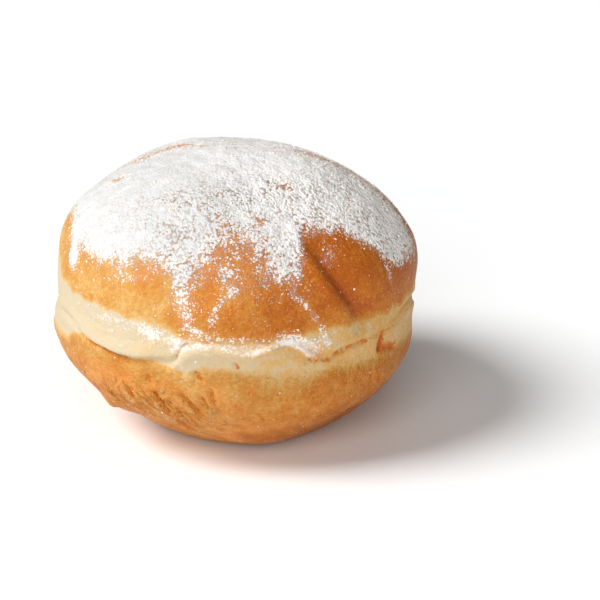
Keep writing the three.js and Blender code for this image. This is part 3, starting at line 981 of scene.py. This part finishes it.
class DOUGHNUT_OT_sugar(bpy.types.Operator):
    """Scatters the loose grains and clumps of powdered sugar over the crust"""

    bl_idname = "doughnut.sugar"
    bl_label = "Powdered sugar"

    def execute(self, context):
        sugar = context.scene.doughnut_sugar
        dough = bpy.data.objects.get(DOUGH)
        if dough is None:
            raise RuntimeError("make the dough before its sugar")
        material = sugar_material(sugar)
        random = np.random.default_rng(sugar.seed)
        for name, (setting, detail, *traits) in GRAIN_KINDS.items():
            shapes = [self.grain_shape(detail, random) for _ in range(GRAIN_SHAPES)]
            piece = self.scatter(name, shapes, dough.data, getattr(sugar, setting), *traits, random)
            piece.data.materials.append(material)
            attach(piece, "root")
        return {"FINISHED"}

    def grain_shape(self, detail, random):
        """One lumpy grain with a radius of about 1, as vertices and triangles."""
        bpy.ops.object.select_all(action="DESELECT")
        bpy.ops.mesh.primitive_ico_sphere_add(subdivisions=detail, radius=1.0)
        grain = bpy.context.object
        vertices = np.array([v.co for v in grain.data.vertices])
        faces = np.array([p.vertices for p in grain.data.polygons])
        bpy.data.objects.remove(grain)
        knobs = random.normal(size=(GRAIN_KNOBS, 3))
        knobs /= np.linalg.norm(knobs, axis=1)[:, None]
        swell = 1.0 + KNOB_SWELL * np.max(vertices @ knobs.T, axis=1) ** 3
        rough = 1.0 + random.uniform(-GRAIN_ROUGHNESS, GRAIN_ROUGHNESS, len(vertices))
        return vertices * (swell * rough)[:, None], faces

    def spots(self, mesh, count, stray, random):
        """Random places on the skin, most where the sugar thins out, and the directions out of it."""
        mesh.calc_loop_triangles()
        corners = np.empty(len(mesh.loop_triangles) * 3, np.int32)
        mesh.loop_triangles.foreach_get("vertices", corners)
        corners = corners.reshape(-1, 3)
        skin = Skin.of(mesh)
        amount = np.empty(skin.count, np.float32)
        mesh.attributes["sugar"].data.foreach_get("value", amount)
        likely = np.where(amount > DENSE_AMOUNT, DENSE_CHANCE, stray + amount**1.5)
        likely = likely * (skin.height > LOWEST_GRAIN)
        a, b, c = (skin.places[corners[:, k]] for k in range(3))
        area = np.linalg.norm(np.cross(b - a, c - a), axis=1)
        chance = area * likely[corners].mean(axis=1)
        picked = random.choice(len(corners), size=count, p=chance / chance.sum())
        u, v = random.uniform(size=(2, count))
        over = u + v > 1.0
        u, v = np.where(over, 1.0 - u, u), np.where(over, 1.0 - v, v)
        places = a[picked] + u[:, None] * (b - a)[picked] + v[:, None] * (c - a)[picked]
        normals = skin.normals[corners[picked]].mean(axis=1)
        return places, normals / np.linalg.norm(normals, axis=1)[:, None]

    def scatter(self, name, shapes, mesh, count, sizes, flat, stray, random):
        """One mesh of grains that lie on the skin."""
        places, normals = self.spots(mesh, count, stray, random)
        radii = sizes[0] + (sizes[1] - sizes[0]) * random.uniform(size=count) ** 2.2
        spin = random.uniform(0.0, 2.0 * math.pi, count)
        stretch = random.uniform(*GRAIN_STRETCH, count)
        vertices, faces, start = [], [], 0
        for k in range(count):
            shape, triangles = shapes[k % len(shapes)]
            across = np.cross(normals[k], (0.31, 0.17, 0.93))
            across /= np.linalg.norm(across)
            along = np.cross(normals[k], across)
            turn, lean = math.cos(spin[k]), math.sin(spin[k])
            axes = np.array([turn * across + lean * along, turn * along - lean * across, normals[k]])
            scale = radii[k] * np.array([stretch[k], 1.0 / stretch[k], flat])
            middle = places[k] + normals[k] * radii[k] * flat * GRAIN_RISE
            vertices.append((shape * scale) @ axes + middle)
            faces.append(triangles + start)
            start += len(shape)
        grains = bpy.data.meshes.new(name)
        grains.from_pydata((np.concatenate(vertices) * MM).tolist(), [], np.concatenate(faces).tolist())
        piece = bpy.data.objects.new(name, grains)
        bpy.context.collection.objects.link(piece)
        select_only(piece)
        bpy.ops.object.shade_smooth()
        return piece


class DOUGHNUT_OT_stage(bpy.types.Operator):
    """Sets the table, the soft light from the left and the camera"""

    bl_idname = "doughnut.stage"
    bl_label = "Stage"

    def execute(self, context):
        stage = context.scene.doughnut_stage
        bpy.ops.object.select_all(action="DESELECT")
        bpy.ops.mesh.primitive_plane_add(size=TABLE_SIZE)
        table = context.object
        table.name = "table"
        table.data.materials.append(table_material())

        target = Vector(stage.target)
        back = Vector((0.0, -math.cos(stage.elevation), math.sin(stage.elevation)))
        bpy.ops.object.camera_add(location=target + back * stage.distance)
        camera = context.object
        camera.rotation_euler = facing(-back)
        camera.data.lens = stage.lens
        camera.data.sensor_width = SENSOR_WIDTH
        camera.data.clip_start = NEAREST
        context.scene.camera = camera

        for name, sun in SUNS.items():
            self.light(name, getattr(stage, name), *sun)

        world = bpy.data.worlds.new("studio")
        context.scene.world = world
        world.use_nodes = True
        background = world.node_tree.nodes["Background"]
        background.inputs["Color"].default_value = SKY_COLOUR
        background.inputs["Strength"].default_value = stage.sky
        context.scene.view_settings.view_transform = "Standard"
        return {"FINISHED"}

    def light(self, name, strength, azimuth, height, spread, colour):
        """A sun at this azimuth and height, as wide as its spread, all in degrees."""
        turn, rise = math.radians(azimuth), math.radians(height)
        level = math.cos(rise)
        towards = Vector((level * math.sin(turn), -level * math.cos(turn), math.sin(rise)))
        bpy.ops.object.select_all(action="DESELECT")
        bpy.ops.object.light_add(type="SUN", location=towards)
        sun = bpy.context.object
        sun.name = name
        sun.rotation_euler = facing(-towards)
        sun.data.energy = strength
        sun.data.angle = math.radians(spread)
        sun.data.color = colour


class DOUGHNUT_PT_panel(bpy.types.Panel):
    """The doughnut's pieces and their settings."""

    bl_idname = "DOUGHNUT_PT_panel"
    bl_label = "Filled doughnut"
    bl_space_type = "VIEW_3D"
    bl_region_type = "UI"
    bl_category = "Doughnut"

    def draw(self, context):
        for operator, settings in (
            (DOUGHNUT_OT_dough, context.scene.doughnut_crust),
            (DOUGHNUT_OT_sugar, context.scene.doughnut_sugar),
            (DOUGHNUT_OT_stage, context.scene.doughnut_stage),
        ):
            box = self.layout.box()
            box.operator(operator.bl_idname)
            for name in settings.__annotations__:
                box.prop(settings, name)


SETTINGS = {
    "doughnut_crust": CrustSettings,
    "doughnut_sugar": SugarSettings,
    "doughnut_stage": StageSettings,
}
CLASSES = (*SETTINGS.values(), DOUGHNUT_OT_dough, DOUGHNUT_OT_sugar, DOUGHNUT_OT_stage, DOUGHNUT_PT_panel)


def register():
    for item in CLASSES:
        bpy.utils.register_class(item)
    for name, settings in SETTINGS.items():
        setattr(bpy.types.Scene, name, bpy.props.PointerProperty(type=settings))


def unregister():
    for name in SETTINGS:
        delattr(bpy.types.Scene, name)
    for item in reversed(CLASSES):
        bpy.utils.unregister_class(item)


def main():
    register()
    bpy.ops.doughnut.dough()
    bpy.ops.doughnut.sugar()
    bpy.ops.doughnut.stage()


if __name__ == "__main__":
    main()
